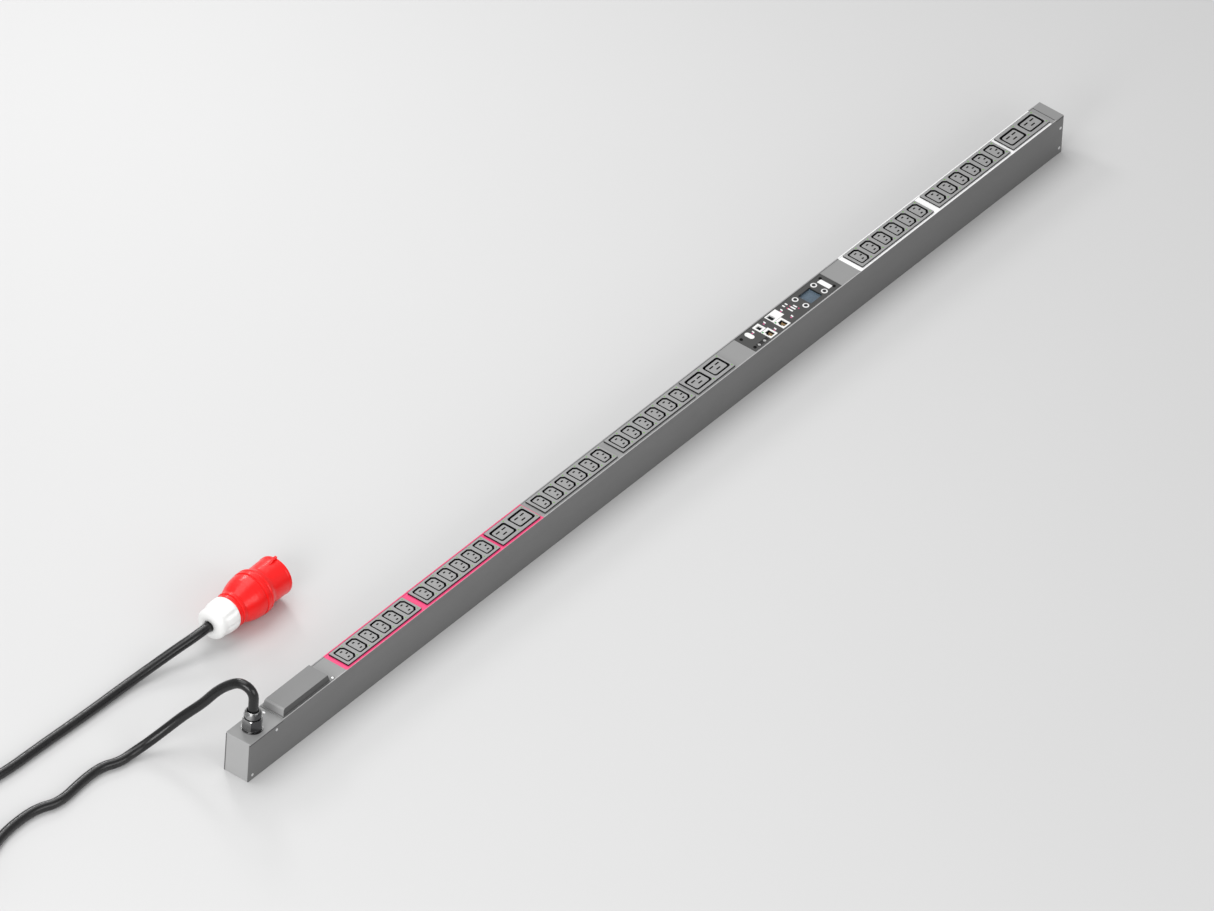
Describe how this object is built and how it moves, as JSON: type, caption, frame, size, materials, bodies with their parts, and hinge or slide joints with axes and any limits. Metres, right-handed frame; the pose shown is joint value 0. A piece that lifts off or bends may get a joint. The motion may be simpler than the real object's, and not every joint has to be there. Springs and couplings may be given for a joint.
{
  "type": "rack power strip",
  "caption": "Long three-phase zero-U rack power strip on its back, with coloured outlet banks, a control panel, a top-entry cable gland, and a supply cable with a round red plug.",
  "frame": {"origin": "on the rear face, midway along and across the housing", "axes": "+X from the supply end to the far end, +Y towards the side where the supply cable lies, +Z out of the outlet face"},
  "size_m": [2.4225, 0.331, 0.1482],
  "materials": {
    "housing_paint": "satin powder coat",
    "cap_paint": "satin powder coat",
    "deck_paint": "satin powder coat",
    "cover_paint": "satin powder coat",
    "screw_steel": "zinc-plated steel",
    "screw_black": "blackened steel",
    "label_magenta": "printed film",
    "label_grey": "printed film",
    "label_white": "printed film",
    "outlet_grey": "fine moulded texture",
    "insulator_black": "moulded",
    "insulator_grey": "moulded",
    "contact_brass": "tinned spring brass",
    "bar_copper": "bare copper bar",
    "board_green": "solder mask",
    "light_green": "clear green light rod",
    "control_dark": "fine moulded texture",
    "display_glass": "clear window",
    "display_blue": "unlit liquid-crystal screen",
    "button_black": "soft-touch cap",
    "ring_white": "moulded ring",
    "port_white": "moulded connector body",
    "led_red": "tinted lens",
    "gland_metal": "nickel-plated brass",
    "seal_rubber": "sealing rubber",
    "core_plastic": "wire insulation",
    "cable_black": "smooth sheath",
    "plug_red": "moulded red plastic",
    "plug_white": "moulded white plastic",
    "plug_insert_black": "moulded insulator",
    "pin_nickel": "nickel-plated pin"
  },
  "bodies": {
    "strip": {"busbar_holders": "insulator_black", "busbars": "bar_copper", "button_rings": "ring_white", "c13_block_1": "outlet_grey", "c13_block_2": "outlet_grey", "c13_block_3": "outlet_grey", "c13_block_4": "outlet_grey", "c13_block_5": "outlet_grey", "c13_block_6": "outlet_grey", "c19_block_1": "outlet_grey", "c19_block_2": "outlet_grey", "c19_block_3": "outlet_grey", "controller_board": "board_green", "controller_plate": "control_dark", "controller_screws": "screw_black", "controller_tray": "insulator_black", "deck_rails": "deck_paint", "display_module": "display_blue", "display_window": "display_glass", "earth_contacts": "contact_brass", "end_cap_screws": "screw_steel", "far_end_cap": "cap_paint", "gland_body": "gland_metal", "gland_nuts": "gland_metal", "gland_seal": "seal_rubber", "housing_profile": "housing_paint", "line_contacts": "contact_brass", "near_end_cap": "cap_paint", "network_jacks": "port_white", "neutral_contacts": "contact_brass", "outlet_boards": "board_green", "outlet_lights": "light_green", "panel_screws": "screw_steel", "phase_label_1": "label_magenta", "phase_label_2": "label_grey", "phase_label_3": "label_white", "plug_body": "plug_red", "plug_cap_nut": "plug_white", "plug_collar": "plug_red", "plug_insert": "plug_insert_black", "plug_pins": "pin_nickel", "rear_inserts": "screw_steel", "relay_terminal": "insulator_black", "service_ports": "port_white", "socket_bases": "insulator_black", "socket_inserts_1": "outlet_grey", "socket_inserts_2": "outlet_grey", "socket_inserts_3": "outlet_grey", "spacer_plates": "deck_paint", "status_leds": "led_red", "supply_cable": "cable_black", "supply_cable_coil": "cable_black", "supply_cable_tail": "cable_black", "supply_cores": "core_plastic", "terminal_block": "insulator_grey", "terminal_cover": "cover_paint"},
    "menu_button_1_body": {"menu_button_1": "button_black"},
    "menu_button_2_body": {"menu_button_2": "button_black"},
    "menu_button_3_body": {"menu_button_3": "button_black"},
    "menu_button_4_body": {"menu_button_4": "button_black"}
  },
  "joints": [
    {"name": "menu_button_1_press", "type": "slide", "parent": "strip", "child": "menu_button_1_body", "axis": [0, 0, -1], "range_m": [0, 0.0008], "stiffness_N_per_m": 900},
    {"name": "menu_button_2_press", "type": "slide", "parent": "strip", "child": "menu_button_2_body", "axis": [0, 0, -1], "range_m": [0, 0.0008], "stiffness_N_per_m": 900},
    {"name": "menu_button_3_press", "type": "slide", "parent": "strip", "child": "menu_button_3_body", "axis": [0, 0, -1], "range_m": [0, 0.0008], "stiffness_N_per_m": 900},
    {"name": "menu_button_4_press", "type": "slide", "parent": "strip", "child": "menu_button_4_body", "axis": [0, 0, -1], "range_m": [0, 0.0008], "stiffness_N_per_m": 900}
  ]
}
